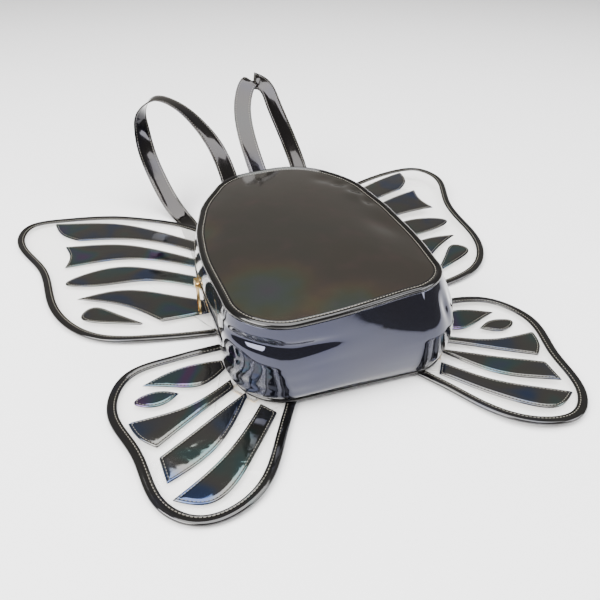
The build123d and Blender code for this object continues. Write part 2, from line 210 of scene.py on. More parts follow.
def nearest(points, line, closed=True):
    """Distance from each point to a polyline, the nearest point on it, and its direction there."""
    points, line = np.array(points, float), np.array(line, float)
    starts = line if closed else line[:-1]
    ends = np.roll(line, -1, 0) if closed else line[1:]
    run = ends - starts
    size = np.maximum((run ** 2).sum(1), 1e-12)
    best = np.full(len(points), 1e9)
    spot, way = np.zeros_like(points), np.zeros_like(points)
    for low in range(0, len(points), BATCH):
        batch = slice(low, low + BATCH)
        some = points[batch]
        share = np.clip(((some[:, None] - starts) * run).sum(2) / size, 0, 1)
        feet = starts + share[..., None] * run
        gaps = np.linalg.norm(some[:, None] - feet, axis=2)
        pick = gaps.argmin(1)
        index = np.arange(len(some))
        best[batch] = gaps[index, pick]
        spot[batch] = feet[index, pick]
        way[batch] = run[pick] / np.sqrt(size[pick])[:, None]
    return best, spot, way


def plate_rings(edge, middle, levels, first_z, second_z):
    """Rings of a flat plate: in from its edge at one height, and back out at the other."""
    return ([level_ring(shrunk(edge, middle, share), first_z) for share in levels]
            + [level_ring(shrunk(edge, middle, share), second_z) for share in reversed(levels)])


def right_of(way):
    """Unit vectors to the right of flat unit directions."""
    return np.stack([way[:, 1], -way[:, 0]], 1)


def area_of(loop):
    """Area of a closed outline, positive when it runs anticlockwise."""
    x, y = loop[:, 0], loop[:, 1]
    return 0.5 * np.sum(x * np.roll(y, -1) - np.roll(x, -1) * y)


def into_loop(loop, way):
    """Unit vectors into a closed outline, from directions along it."""
    return right_of(way) * (-1 if area_of(loop) > 0 else 1)


def shrunk(loop, middle, share):
    """Outline drawn in towards a middle, which it reaches at 0."""
    return middle + (loop - middle) * share


def level_ring(flat, z):
    """Flat points, all at one height."""
    return np.column_stack([flat, np.full(len(flat), float(z))])


# ---- bag outline

SORT_MIDDLE_Y = -20
STRAP_COUNT, FOOT_COUNT = 421, 241


def by_bearing(points):
    """Points in order of their bearing from the bag's middle."""
    return points[np.argsort(np.arctan2(points[:, 1] - SORT_MIDDLE_Y, points[:, 0]))]


def rounded_outline():
    """Bag outline from the right seam over the strap end to the left seam, and on round the foot."""
    corners = OUTLINE_CORNERS + [(-x, y, r) for x, y, r in reversed(OUTLINE_CORNERS)]
    path = []
    for index, (x, y, radius) in enumerate(corners):
        here = np.array([x, y], float)
        before = np.array(corners[index - 1][:2], float) - here
        after = np.array(corners[(index + 1) % len(corners)][:2], float) - here
        before, after = before / np.linalg.norm(before), after / np.linalg.norm(after)
        half_angle = math.acos(np.clip(before @ after, -1, 1)) / 2
        middle = (before + after) / np.linalg.norm(before + after)
        centre = here + middle * radius / math.sin(half_angle)
        start = here + before * radius / math.tan(half_angle) - centre
        end = here + after * radius / math.tan(half_angle) - centre
        first, last = math.atan2(start[1], start[0]), math.atan2(end[1], end[0])
        turn = (last - first + math.pi) % (2 * math.pi) - math.pi
        count = max(8, int(abs(turn) * radius))
        path += [centre + radius * np.array([math.cos(first + turn * k / count),
                                             math.sin(first + turn * k / count)])
                 for k in range(count + 1)]
    path = np.array(path)
    right = np.array([OUTLINE_CORNERS[0][0], SEAM_Y])
    left = right * np.array([-1, 1])
    upper = by_bearing(path[path[:, 1] > SEAM_Y])
    lower = by_bearing(path[path[:, 1] <= SEAM_Y])
    return (resample(np.vstack([right, upper, left]), STRAP_COUNT, False),
            resample(np.vstack([left, lower, right]), FOOT_COUNT, False))


STRAP_SIDE, FOOT_SIDE = rounded_outline()
OUTLINE = np.vstack([STRAP_SIDE[:-1], FOOT_SIDE[:-1]])
OUTWARD = right_of(directions(OUTLINE, True))
ALL_INDEX = np.arange(len(OUTLINE))
STRAP_INDEX = np.arange(STRAP_COUNT)
FOOT_INDEX = np.concatenate([np.arange(STRAP_COUNT - 1, len(OUTLINE)), [0]])


def signed_to_bag(points):
    """Distance outside the bag's outline (negative inside), its nearest point and its normal."""
    gap, spot, way = nearest(points, OUTLINE)
    normal = right_of(way)
    side = ((np.array(points) - spot) * normal).sum(1)
    return np.where(side < 0, -gap, gap), spot, normal


def smooth(low, high, value):
    """Smooth rise from 0 at low to 1 at high."""
    share = np.clip((value - low) / (high - low), 0, 1)
    return share * share * (3 - 2 * share)


# Where the stuffed body leans out of its sewn outline: bearing from the bag's middle and half
# width of the stretch in degrees, then millimetres at the rim and near the back
LEANS = [(70, 34, 13, 0), (-62, 26, -12, 1), (-165, 30, 7, 0), (-118, 30, 3, 5), (125, 20, -5, 0)]
LEAN_MIDDLE_Y = -10
LEAN_LOW_Z = 20


def lean(index, z):
    """Lean of the walls at a height, for the outline's indices."""
    bearing = np.degrees(np.arctan2(OUTLINE[index, 1] - LEAN_MIDDLE_Y, OUTLINE[index, 0]))
    up = np.clip((z - ZIP_Z) / (RIM_Z - ZIP_Z), 0, 1)
    down = np.clip((ZIP_Z - z) / (ZIP_Z - LEAN_LOW_Z), 0, 1)
    down *= smooth(WALL_Z - 1, LEAN_LOW_Z - 2, z)
    out = np.zeros(len(index))
    for direction, spread, rim_lean, back_lean in LEANS:
        off = (bearing - direction + 180) % 360 - 180
        out += np.exp(-(off / spread) ** 2) * (rim_lean * up + back_lean * down)
    return out


# Dents and folds in the soft walls: middle x, y, z, half lengths across, up and along, depth
WALL_DENTS = [
    # crease under the rim at the foot's left corner
    (-82, -130, 67, 26, 4.0, 26, -4.6),
    (-48, -146, 64, 28, 4.5, 28, -3.2),
    # swelling below it, and two creases under that
    (-68, -142, 46, 32, 10, 32, 3.6),
    (-84, -128, 25, 20, 6, 20, -3.2),
    (-62, -146, 20, 26, 6, 26, -1.6),
    # folds at the right corner, and the ridges between them
    (92, -124, 40, 7, 30, 7, -3.2),
    (80, -136, 56, 6, 20, 6, -2.6),
    (99, -104, 46, 9, 26, 9, -2.4),
    (68, -143, 34, 8, 24, 8, 1.8), (97, -112, 30, 5, 26, 5, 1.8),
    # pinch in the left side, and soft hollows in the right one
    (-100, -70, 60, 16, 14, 16, -3.0),
    (-99, 30, 62, 26, 12, 26, -2.0),
    (100, -40, 66, 18, 10, 18, -3.0),
    (100, 10, 64, 20, 10, 20, -2.4),
    (60, 118, 60, 22, 14, 22, -2.0),
    (-40, 136, 58, 26, 14, 26, -2.0),
]


def wall_dents(points):
    """Outward displacement of points of the wall."""
    out = np.zeros(len(points))
    for x, y, z, across, up, along, depth in WALL_DENTS:
        out += depth * np.exp(-(((points[:, 0] - x) / across) ** 2
                                + ((points[:, 1] - y) / along) ** 2
                                + ((points[:, 2] - z) / up) ** 2))
    return out


def swell(z):
    """How far the gussets stand out at a height."""
    low = np.sin(np.clip((z - WALL_Z) / (REAR_EDGE_Z - WALL_Z), 0, 1) * math.pi / 2)
    high = np.sin(np.clip((RIM_Z - z) / (RIM_Z - FRONT_EDGE_Z), 0, 1) * math.pi / 2)
    return BULGE * np.minimum(low, high)


def leaning_ring(index, z, grow):
    """Outline at a height, leaned with the stuffed body and moved out by grow."""
    reach = grow + lean(index, z)
    return level_ring(OUTLINE[index] + OUTWARD[index] * reach[:, None], z)


def wall_points(index, z, extra=0.0):
    """Ring of points of the wall at a height, for the outline's indices."""
    ring = leaning_ring(index, z, swell(z) + extra)
    ring[:, :2] += OUTWARD[index] * wall_dents(ring)[:, None]
    return ring


# ---- materials

def tree(name):
    """New material, with its nodes, links and shader."""
    material = bpy.data.materials.new(name)
    material.use_nodes = True
    nodes, links = material.node_tree.nodes, material.node_tree.links
    shader = nodes["Principled BSDF"]
    return material, nodes, links, shader


def ramp(nodes, stops):
    """Colour ramp with the given stops."""
    node = nodes.new("ShaderNodeValToRGB")
    node.color_ramp.interpolation = "B_SPLINE"
    while len(node.color_ramp.elements) < len(stops):
        node.color_ramp.elements.new(0.5)
    for element, (place, colour) in zip(node.color_ramp.elements, stops):
        element.position = place
        element.color = (*colour, 1)
    return node


def noise(nodes, links, scale, detail, distortion=0.0):
    """Noise in the piece's own space."""
    where = nodes.new("ShaderNodeTexCoord")
    texture = nodes.new("ShaderNodeTexNoise")
    texture.inputs["Scale"].default_value = scale
    texture.inputs["Detail"].default_value = detail
    texture.inputs["Distortion"].default_value = distortion
    links.new(where.outputs["Object"], texture.inputs["Vector"])
    return texture.outputs["Fac"]


def between(nodes, links, value, low, high):
    """Stretch a value from 0..1 to a range."""
    node = nodes.new("ShaderNodeMapRange")
    node.inputs["To Min"].default_value = low
    node.inputs["To Max"].default_value = high
    links.new(value, node.inputs["Value"])
    return node.outputs["Result"]


def bump(nodes, links, shader, height, strength, distance):
    """Bump from a height into the shader's normal."""
    node = nodes.new("ShaderNodeBump")
    node.inputs["Strength"].default_value = strength
    node.inputs["Distance"].default_value = distance
    links.new(height, node.inputs["Height"])
    links.new(node.outputs["Normal"], shader.inputs["Normal"])


# Colours of a painted rainbow sheen patch from its middle outwards, added to the film's tint: painted
# iridescent reflection
PAINTED_RAINBOW_SHEEN = [(0.0, (0.016, 0.016, 0.046)), (0.22, (0.002, 0.030, 0.040)), (0.42, (0.006, 0.032, 0.010)),
           (0.60, (0.034, 0.018, 0.002)), (0.80, (0.012, 0.002, 0.006)), (1.0, (0.0, 0.0, 0.0))]


def painted_rainbow_sheen(nodes, links, colour, x, y, z, radius):
    """Add a soft ring-shaped patch of painted rainbow sheen about a point of the bag."""
    where = nodes.new("ShaderNodeTexCoord")
    gap = nodes.new("ShaderNodeVectorMath")
    gap.operation = "DISTANCE"
    gap.inputs[1].default_value = tuple(row([(x, y, z)])[0])
    links.new(where.outputs["Object"], gap.inputs[0])
    share = nodes.new("ShaderNodeMapRange")
    share.inputs["From Max"].default_value = radius * MM
    links.new(gap.outputs["Value"], share.inputs["Value"])
    rough_edge = nodes.new("ShaderNodeMath")
    rough_edge.operation = "ADD"
    links.new(share.outputs["Result"], rough_edge.inputs[0])
    wander = between(nodes, links, noise(nodes, links, 45, 2), -0.25, 0.25)
    links.new(wander, rough_edge.inputs[1])
    tints = ramp(nodes, PAINTED_RAINBOW_SHEEN)
    links.new(rough_edge.outputs[0], tints.inputs["Fac"])
    total = nodes.new("ShaderNodeVectorMath")
    total.operation = "ADD"
    links.new(colour, total.inputs[0])
    links.new(tints.outputs["Color"], total.inputs[1])
    return total.outputs["Vector"]


def patent(name, tints, tint_scale, rough, wrinkle, painted_sheen_spots=()):
    """Dark mirror-gloss film whose tint wanders over the surface, with optional rings of painted
    rainbow sheen.
    """
    material, nodes, links, shader = tree(name)
    shader.inputs["Metallic"].default_value = 0.92
    shader.inputs["IOR"].default_value = 1.5
    shader.inputs["Coat Weight"].default_value = 0.5
    shader.inputs["Coat Roughness"].default_value = 0.03
    colour = ramp(nodes, tints)
    links.new(noise(nodes, links, tint_scale, 1.5, distortion=0.6), colour.inputs["Fac"])
    tint = colour.outputs["Color"]
    for x, y, z, radius in painted_sheen_spots:
        tint = painted_rainbow_sheen(nodes, links, tint, x, y, z, radius)
    links.new(tint, shader.inputs["Base Color"])
    roughness = between(nodes, links, noise(nodes, links, 40, 3), *rough)
    links.new(roughness, shader.inputs["Roughness"])
    bump(nodes, links, shader, noise(nodes, links, 55, 2, distortion=0.4), wrinkle, 0.002)
    return material


def plain(name, colour, rough, vary, scale, metallic=0.0, strength=0.3, distance=0.0004):
    """Simple surface with colour variation and fine grain."""
    material, nodes, links, shader = tree(name)
    shader.inputs["Metallic"].default_value = metallic
    shader.inputs["Roughness"].default_value = rough
    darker = tuple(c * (1 - vary) for c in colour)
    tone = ramp(nodes, [(0.3, darker), (0.7, colour)])
    links.new(noise(nodes, links, scale / 6, 3), tone.inputs["Fac"])
    links.new(tone.outputs["Color"], shader.inputs["Base Color"])
    bump(nodes, links, shader, noise(nodes, links, scale, 2), strength, distance)
    return material


WAVE_RATE = 20          # how fast a wave texture at scale 1 runs, in radians per unit


def woven(name, colour, pitch):
    """Plain weave of two crossing threads, each 2 pi pitches wide, with the pitch in metres."""
    material, nodes, links, shader = tree(name)
    shader.inputs["Roughness"].default_value = 0.85
    shader.inputs["Sheen Weight"].default_value = 0.2
    where = nodes.new("ShaderNodeTexCoord")
    waves = []
    for axis in ("X", "Y"):
        wave = nodes.new("ShaderNodeTexWave")
        wave.bands_direction = axis
        wave.inputs["Scale"].default_value = 1 / (pitch * WAVE_RATE)
        wave.inputs["Distortion"].default_value = 0.6
        links.new(where.outputs["Object"], wave.inputs["Vector"])
        waves.append(wave.outputs["Fac"])
    mix = nodes.new("ShaderNodeMath")
    mix.operation = "MULTIPLY"
    links.new(waves[0], mix.inputs[0])
    links.new(waves[1], mix.inputs[1])
    # darker where the weave is low: painted shade between the threads
    tone = ramp(nodes, [(0.0, tuple(c * 0.45 for c in colour)), (0.8, colour)])
    links.new(mix.outputs[0], tone.inputs["Fac"])
    links.new(tone.outputs["Color"], shader.inputs["Base Color"])
    bump(nodes, links, shader, mix.outputs[0], 0.5, 0.0004)
    return material


def clear_sheet(name):
    """Thin clear sheet: nearly nothing face on, and glossy at a slant."""
    material, nodes, links, shader = tree(name)
    shader.inputs["Base Color"].default_value = (0.86, 0.85, 0.82, 1)
    shader.inputs["Roughness"].default_value = 0.06
    shader.inputs["IOR"].default_value = 1.5
    layer = nodes.new("ShaderNodeLayerWeight")
    layer.inputs["Blend"].default_value = 0.35
    amount = between(nodes, links, layer.outputs["Facing"], 0.10, 0.6)
    links.new(amount, shader.inputs["Alpha"])
    bump(nodes, links, shader, noise(nodes, links, 22, 2, distortion=0.8), 0.35, 0.004)
    return material


# The front and the walls are one black film given two tints: the front's warm brown-olive tint is a
# painted reflection of the ceiling.
FRONT_SKIN = patent("Patent_front", [
    (0.0, (0.050, 0.060, 0.056)), (0.35, (0.072, 0.074, 0.062)), (0.60, (0.082, 0.076, 0.062)),
    (0.80, (0.076, 0.070, 0.060)), (1.0, (0.060, 0.074, 0.064))], 7, (0.08, 0.17), 0.05,
    # the three rings below are painted rainbow sheen, standing in for iridescent reflections
    painted_sheen_spots=[(-66, -100, 88, 62), (-6, -150, 86, 58), (-110, 20, 86, 44)])
SIDE_SKIN = patent("Patent_side", [
    (0.0, (0.014, 0.016, 0.046)), (0.35, (0.026, 0.028, 0.046)), (0.65, (0.032, 0.034, 0.052)),
    (1.0, (0.030, 0.024, 0.030))], 10, (0.015, 0.04), 0.10)
WING_SKIN = patent("Patent_wing", [
    (0.0, (0.012, 0.016, 0.120)), (0.34, (0.026, 0.055, 0.120)), (0.44, (0.070, 0.068, 0.066)),
    (0.56, (0.080, 0.074, 0.066)), (0.64, (0.030, 0.095, 0.090)), (0.72, (0.080, 0.030, 0.140)),
    (1.0, (0.180, 0.060, 0.030))], 19, (0.04, 0.10), 0.22)
EDGE_SKIN = patent("Patent_edge", [
    (0.0, (0.025, 0.028, 0.050)), (0.4, (0.036, 0.036, 0.037)), (0.7, (0.042, 0.039, 0.036)),
    (1.0, (0.030, 0.050, 0.056))], 30, (0.04, 0.12), 0.15)
RIM_SKIN = patent("Patent_rim", [
    (0.0, (0.012, 0.013, 0.020)), (0.5, (0.026, 0.024, 0.022)), (1.0, (0.018, 0.024, 0.024))],
    20, (0.10, 0.20), 0.16)
STRAP_SKIN = patent("Patent_strap", [
    (0.0, (0.005, 0.006, 0.036)), (0.35, (0.013, 0.013, 0.017)), (0.65, (0.024, 0.020, 0.017)),
    (1.0, (0.012, 0.017, 0.021))], 14, (0.08, 0.16), 0.10)
THREAD = plain("Thread", (0.15, 0.14, 0.115), 0.45, vary=0.35, scale=900)
# Same dark thread made paler for the front's topstitch: painted highlight.
THREAD_WITH_PAINTED_HIGHLIGHT = plain("Thread_painted_highlight", (0.21, 0.195, 0.165), 0.4, vary=0.35, scale=900)
GOLD = plain("Gold_plate", (0.90, 0.64, 0.27), 0.16, metallic=1.0, vary=0.08, scale=200,
             strength=0.08, distance=0.0002)
COIL = plain("Zipper_nylon", (0.022, 0.022, 0.026), 0.35, vary=0.3, scale=700)
TAPE = woven("Zipper_weave", (0.022, 0.022, 0.028), 0.0009)
LINING = woven("Lining_weave", (0.03, 0.03, 0.036), 0.0007)
CLEAR = clear_sheet("Clear_sheet")


# ---- stitching

def stitch_faces():
    """Template of one stitch: a small pill along X, with unit half sizes."""
    rings = [(-1.0, 0.35), (-0.75, 0.85), (0.0, 1.0), (0.75, 0.85), (1.0, 0.35)]
    sides = 6
    points = [(x, r * math.cos(2 * math.pi * k / sides), r * math.sin(2 * math.pi * k / sides))
              for x, r in rings for k in range(sides)]
    faces = grid_faces(len(rings), sides, wrap_columns=True)
    faces.append(tuple(range(sides)))
    faces.append(tuple(reversed(range((len(rings) - 1) * sides, len(rings) * sides))))
    return np.array(points), faces


PILL, PILL_FACES = stitch_faces()
STITCH_FLATNESS = 0.7


class Threads:
    """Gathers the stitches, or the zipper teeth, of one piece."""

    def __init__(self):
        self.points, self.faces = [], []

    def add(self, spot, lengthwise, across, up):
        """One pill about a point, from its three half sizes as vectors."""
        base = sum(len(p) for p in self.points)
        self.points.append(spot + PILL[:, :1] * lengthwise + PILL[:, 1:2] * across
                           + PILL[:, 2:3] * up)
        self.faces += [tuple(i + base for i in face) for face in PILL_FACES]

    def run(self, line, normal, pitch, length, radius, closed=False):
        """Stitches along a line of 3-D points; normal is one vector or one for each point."""
        line = np.array(line, float)
        normal = np.broadcast_to(np.array(normal, float), line.shape)
        total = length_of(np.vstack([line, line[:1]]) if closed else line)
        count = max(2, int(total / pitch))
        both = resample(np.hstack([line, normal]), count + (0 if closed else 1), closed)
        spots, ups = both[:, :3], both[:, 3:]
        ways = directions(spots, closed)
        for spot, way, up in zip(spots, ways, ups):
            across = np.cross(up, way)
            across /= max(np.linalg.norm(across), 1e-9)
            up = np.cross(way, across)
            self.add(spot, way * length / 2, across * radius, up * radius * STITCH_FLATNESS)

    def piece(self, name, material, slot="patent_pu"):
        """Mesh object of all the pills."""
        return make(name, np.vstack(self.points), self.faces, material)


# ---- bag shell

WALL_THICK = 1.4
WALL_FOOT_Z = WALL_Z - 0.5
EDGE_STEP = 0.4


def wall_piece(name, index, low, high, count, node, body):
    """Wall of soft sheet with inner and outer faces, and closer rings near its free edges."""
    inside = np.linspace(low, high, count)[1:-1]
    heights = np.concatenate([[low], [low + EDGE_STEP], inside, [high - EDGE_STEP], [high]])
    rings = [wall_points(index, z) for z in heights]
    rings += [wall_points(index, z, extra=-WALL_THICK) for z in reversed(heights)]
    faces = grid_faces(len(rings), len(index), wrap_rows=True)
    piece = make(name, np.vstack(rings), faces, SIDE_SKIN)
    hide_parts(node)
    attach(piece, body)


wall_piece("Rear_gusset", STRAP_INDEX, WALL_FOOT_Z, REAR_EDGE_Z, 22, "rear_gusset", "bag")
wall_piece("Foot_gusset", FOOT_INDEX, WALL_FOOT_Z, RIM_Z, 44, "bottom_gusset", "bag")
wall_piece("Front_gusset", STRAP_INDEX, FRONT_EDGE_Z, RIM_Z, 20, "front_gusset", "front_flap")


def swept_ring(name, section, nodes, material):
    """Section (grow, z) swept all round the leaning outline."""
    rings = [leaning_ring(ALL_INDEX, z, grow) for grow, z in section]
    faces = grid_faces(len(rings), len(ALL_INDEX), wrap_rows=True, wrap_columns=True)
    piece = make(name, np.vstack(rings), faces, material)
    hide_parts(*nodes)
    return piece


WELT_SECTION = [(-2.6, 4.6), (-1.4, 4.4), (-0.2, 4.7), (0.7, 5.6), (0.8, 6.6), (0.2, 7.5),
                (-0.8, 7.9), (-2.4, 7.7)]
welt = swept_ring("Rear_welt", WELT_SECTION, ["rear_welt"], EDGE_SKIN)
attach(welt, "bag")


def bends_at_fold(piece):
    """The front is one sheet; this only bakes the piece's placement into its mesh."""
    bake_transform(piece)


RIM_SECTION = [(-7.6, 85.0), (-6.9, 84.9), (-6.1, 84.45), (-5.5, 84.4), (-4.9, 84.9), (-4.2, 85.7),
               (-3.2, 86.2), (-2.0, 86.2), (-0.9, 85.7), (0.0, 84.9), (0.5, 83.8), (0.4, 82.8),
               (-0.2, 82.0), (-1.2, 81.5), (-3.0, 81.4), (-7.6, 82.6)]
bends_at_fold(swept_ring("Front_rim", RIM_SECTION, ["front_rim", "front_rim_lower"], RIM_SKIN))

# Dents and swellings of the front panel: middle x, y, half lengths across and along, depth
PANEL_DENTS = [
    # slack hollows along the right edge
    (76, -20, 17, 26, -2.6), (86, 34, 7, 9, -3.6), (84, 62, 8, 8, -3.4), (76, 48, 10, 16, 1.6),
    (74, 84, 9, 7, -2.8), (60, 100, 12, 12, -1.6),
    # pinch at the left edge, the sag by the foot, and two low swellings
    (-88, 20, 12, 22, -1.6), (-84, -60, 14, 22, -1.0), (20, -124, 40, 10, -0.8),
    (-40, 60, 46, 50, 0.8), (30, -40, 40, 50, 0.6),
]
PANEL_MIDDLE = np.array([0, -15])
PANEL_EDGE_IN = 6.6
CROWN, CROWN_POWER = 5.2, 2.6
DENT_START = 9          # dents reach full depth a ninth of the way in from the edge


def front_cover():
    """Padded front panel, crowned, and pulled down along its stitched edge."""
    edge = leaning_ring(ALL_INDEX, RIM_Z, -PANEL_EDGE_IN)[:, :2]
    levels = np.concatenate([1 - np.array([0, 0.008, 0.02, 0.035, 0.06, 0.09]),
                             np.linspace(0.86, 0.0, 30)])
    rings = []
    for share in levels:
        height = FRONT_Z - 0.3 + CROWN * (1 - share ** CROWN_POWER)
        ring = level_ring(shrunk(edge, PANEL_MIDDLE, share), height)
        for x, y, across, along, depth in PANEL_DENTS:
            dent = depth * np.exp(-((ring[:, 0] - x) / across) ** 2
                                  - ((ring[:, 1] - y) / along) ** 2)
            ring[:, 2] += dent * min(1, (1 - share) * DENT_START)
        rings.append(ring)
    rings += [level_ring(shrunk(edge, PANEL_MIDDLE, share), RIM_Z + 0.4)
              for share in reversed(levels)]
    faces = grid_faces(len(rings), len(edge), wrap_rows=True, wrap_columns=True, flip=True)
    piece = make("Front_cover", np.vstack(rings), faces, FRONT_SKIN)
    clean(piece)
    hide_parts("front_panel", "front_panel_lower")
    bends_at_fold(piece)


def clean(piece, gap=2e-5):
    """Weld points that coincide, and drop faces with no area."""
    work = bmesh.new()
    work.from_mesh(piece.data)
    bmesh.ops.remove_doubles(work, verts=work.verts, dist=gap)
    bmesh.ops.dissolve_degenerate(work, edges=work.edges, dist=gap)
    bmesh.ops.recalc_face_normals(work, faces=work.faces)
    work.to_mesh(piece.data)
    work.free()
    piece.data.polygons.foreach_set("use_smooth", [True] * len(piece.data.polygons))


front_cover()

FRONT_SEAM_IN, FRONT_SEAM_Z = 5.8, 84.65
front_threads = Threads()
front_seam = leaning_ring(ALL_INDEX, RIM_Z, -FRONT_SEAM_IN)
front_seam[:, 2] = FRONT_SEAM_Z
front_threads.run(front_seam, (0, 0, 1), pitch=3.0, length=2.1, radius=0.42, closed=True)
bends_at_fold(front_threads.piece("Front_topstitch", THREAD_WITH_PAINTED_HIGHLIGHT))

SHELL_MIDDLE = np.array([0, -20])
BACK_LOW, BACK_HIGH, BACK_EDGE_IN, BACK_SAG = 4.6, 7.2, 1.4, 0.5


def back_cover():
    """Padded back panel, hollowed slightly on its outer face."""
    edge = OUTLINE - OUTWARD * BACK_EDGE_IN
    levels = np.concatenate([[1.0, 0.99], np.linspace(0.95, 0, 16)])
    rings = [level_ring(shrunk(edge, SHELL_MIDDLE, share), BACK_LOW + BACK_SAG * (1 - share ** 2))
             for share in reversed(levels)]
    rings += [level_ring(shrunk(edge, SHELL_MIDDLE, share), BACK_HIGH) for share in levels]
    faces = grid_faces(len(rings), len(edge), wrap_rows=True, wrap_columns=True)
    piece = make("Back_cover", np.vstack(rings), faces, SIDE_SKIN)
    clean(piece)
    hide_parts("back_panel")
    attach(piece, "bag")


back_cover()

# ---- zipper

TAPE_OUT, TAPE_STEP_IN, TAPE_THICK, TAPE_ROWS = 4.7, 0.12, 0.5, 6
TAPE_GAP, TAPE_TUCK = 1.6, 5    # from the zipper's middle, and past the gusset's edge
CHAIN_SAMPLES, TOOTH_STEP = 2400, 5
CHAIN_OUT, TOOTH_Z = 5.2, 1.05
TALL, WIDE, DEEP = 1.15, 0.5, 0.75      # half sizes of a tooth
FRONT_TOOTH_SHIFT = 0.65
ZIP_SEAM_IN, ZIP_SEAM_OUT = 2.4, 0.15
UP = np.array([0, 0, 1])


def zipper_half(direction, side, body, edge_z, tooth_shift):
    """Tape, teeth and seam of one side of the zipper; direction is its side in z, -1 or 1."""
    normals = level_ring(OUTWARD[STRAP_INDEX], 0)
    heights = np.linspace(ZIP_Z + direction * TAPE_GAP, edge_z + direction * TAPE_TUCK, TAPE_ROWS)
    rings = [leaning_ring(STRAP_INDEX, z, TAPE_OUT - TAPE_STEP_IN * k)
             for k, z in enumerate(heights)]
    rings += [ring - normals * TAPE_THICK for ring in reversed(rings)]
    faces = grid_faces(len(rings), STRAP_COUNT, wrap_rows=True, flip=direction > 0)
    tape = make(f"Zipper_tape_{side}", np.vstack(rings), faces, TAPE)
    clean(tape)
    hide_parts(f"zipper_tape_{side}")
    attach(tape, body)

    chain = Threads()
    track = resample(STRAP_SIDE, CHAIN_SAMPLES, False)
    flat_way = directions(track, False)
    way, out = level_ring(flat_way, 0), level_ring(right_of(flat_way), 0)
    middle = level_ring(track, ZIP_Z + direction * TOOTH_Z) + out * CHAIN_OUT + way * tooth_shift
    for index in range(0, len(track) - 1, TOOTH_STEP):
        chain.add(middle[index], UP * TALL, way[index] * WIDE, out[index] * DEEP)
    teeth = chain.piece(f"Zipper_chain_{side}", COIL, "zipper_chain")
    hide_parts(f"zipper_chain_{side}")
    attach(teeth, body)

    seam = Threads()
    seam.run(wall_points(STRAP_INDEX, edge_z + direction * ZIP_SEAM_IN, extra=ZIP_SEAM_OUT),
             normals, pitch=3.2, length=2.2, radius=0.3)
    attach(seam.piece(f"Zipper_topstitch_{side}", THREAD), body)


zipper_half(-1, "rear", "bag", REAR_EDGE_Z, 0)
zipper_half(1, "front", "front_flap", FRONT_EDGE_Z, FRONT_TOOTH_SHIFT)

METAL_BEVEL = 0.25
for node in ("zipper_slider", "pull_tab", "zipper_end_stops", "left_ring", "right_ring",
             "left_strap_slider", "right_strap_slider"):
    # the CAD shape stays, with softened edges and a better finish
    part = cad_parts[node]
    part.data.materials.clear()
    part.data.materials.append(GOLD)
    soften = part.modifiers.new("Soften", "BEVEL")
    soften.width = METAL_BEVEL * MM
    soften.segments = 2
    soften.limit_method = "ANGLE"

LINING_IN, LINING_THICK, LINING_EASE = 2.6, 0.5, 0.3


def lining(name, node, body, walls, low, edge):
    """Thin cup inside the shell: strips along its walls, and a flat face from z = low."""
    points, faces = [], []

    def add_sheet(rings, wrap):
        """One closed sheet of the cup."""
        base = sum(len(p) for p in points)
        points.append(np.vstack(rings))
        faces.extend(tuple(i + base for i in face) for face in
                     grid_faces(len(rings), len(rings[0]), wrap_rows=True, wrap_columns=wrap))

    for index, heights in walls:
        outer = [wall_points(index, z, extra=-LINING_IN) for z in heights]
        inner = [wall_points(index, z, extra=-LINING_IN - LINING_THICK) for z in reversed(heights)]
        add_sheet(outer + inner, False)
    add_sheet(plate_rings(edge, SHELL_MIDDLE, np.linspace(1, 0, 14), low, low + LINING_THICK), True)
    piece = make(name, np.vstack(points), faces, LINING)
    clean(piece)
    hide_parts(node)
    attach(piece, body)


rear_edge = OUTLINE - OUTWARD * (LINING_IN + LINING_EASE)
lining("Lining_rear", "lining_rear", "bag",
       [(STRAP_INDEX, np.linspace(WALL_Z + 0.6, REAR_EDGE_Z - 0.5, 12)),
        (FOOT_INDEX, np.linspace(WALL_Z + 0.6, RIM_Z - 1, 24))], WALL_Z + 0.5, rear_edge)
flap_edge = wall_points(STRAP_INDEX, RIM_Z - 1, extra=-LINING_IN - LINING_EASE)[:, :2]
across_flap = np.linspace(flap_edge[-1], flap_edge[0], 40)[1:-1]
lining("Lining_front", "lining_front", "front_flap",
       [(STRAP_INDEX, np.linspace(FRONT_EDGE_Z + 0.5, RIM_Z - 1, 12))], RIM_Z - 1.1,
       np.vstack([flap_edge, across_flap]))

# ---- straps

STRAP_SECTION = [(-11.0, 0.0), (-10.7, 0.65), (-9.9, 0.95), (-8.9, 0.9), (-8.3, 0.6), (-7.6, 0.78),
                 (-3.5, 0.86), (0, 0.88)]
STRAP_SECTION += [(-x, z) for x, z in reversed(STRAP_SECTION[:-1])]
STRAP_SECTION += [(x, -z) for x, z in reversed(STRAP_SECTION[1:-1])]
STRAP_LOWEST_Z = 0.96
STRAP_SEAM, STRAP_SEAM_LIFT = 8.3, 0.66
LONG_STRETCH = 35       # flat stretches longer than this get extra stations


def strap_frames(route):
    """Even stations along a route, with directions across and up."""
    stations = natural_spline(route, 4.0)
    spots = stations[:, :3]
    along = directions(spots, False)
    heading = np.radians(stations[:, 3])
    across = np.column_stack([np.cos(heading), np.sin(heading), np.zeros(len(heading))])
    across -= along * (along * across).sum(1)[:, None]
    across /= np.linalg.norm(across, axis=1)[:, None]
    return spots, across, np.cross(across, along)


def clamped(route):
    """Route with its flat stretches held flat by extra stations."""
    filled = []
    for here, there in zip(route[:-1], route[1:]):
        filled.append(here)
        if here[2] == there[2] and math.dist(here[:2], there[:2]) > LONG_STRETCH:
            filled += [tuple(shrunk(np.array(there), np.array(here), share))
                       for share in (0.2, 0.5, 0.8)]
    return filled + [route[-1]]


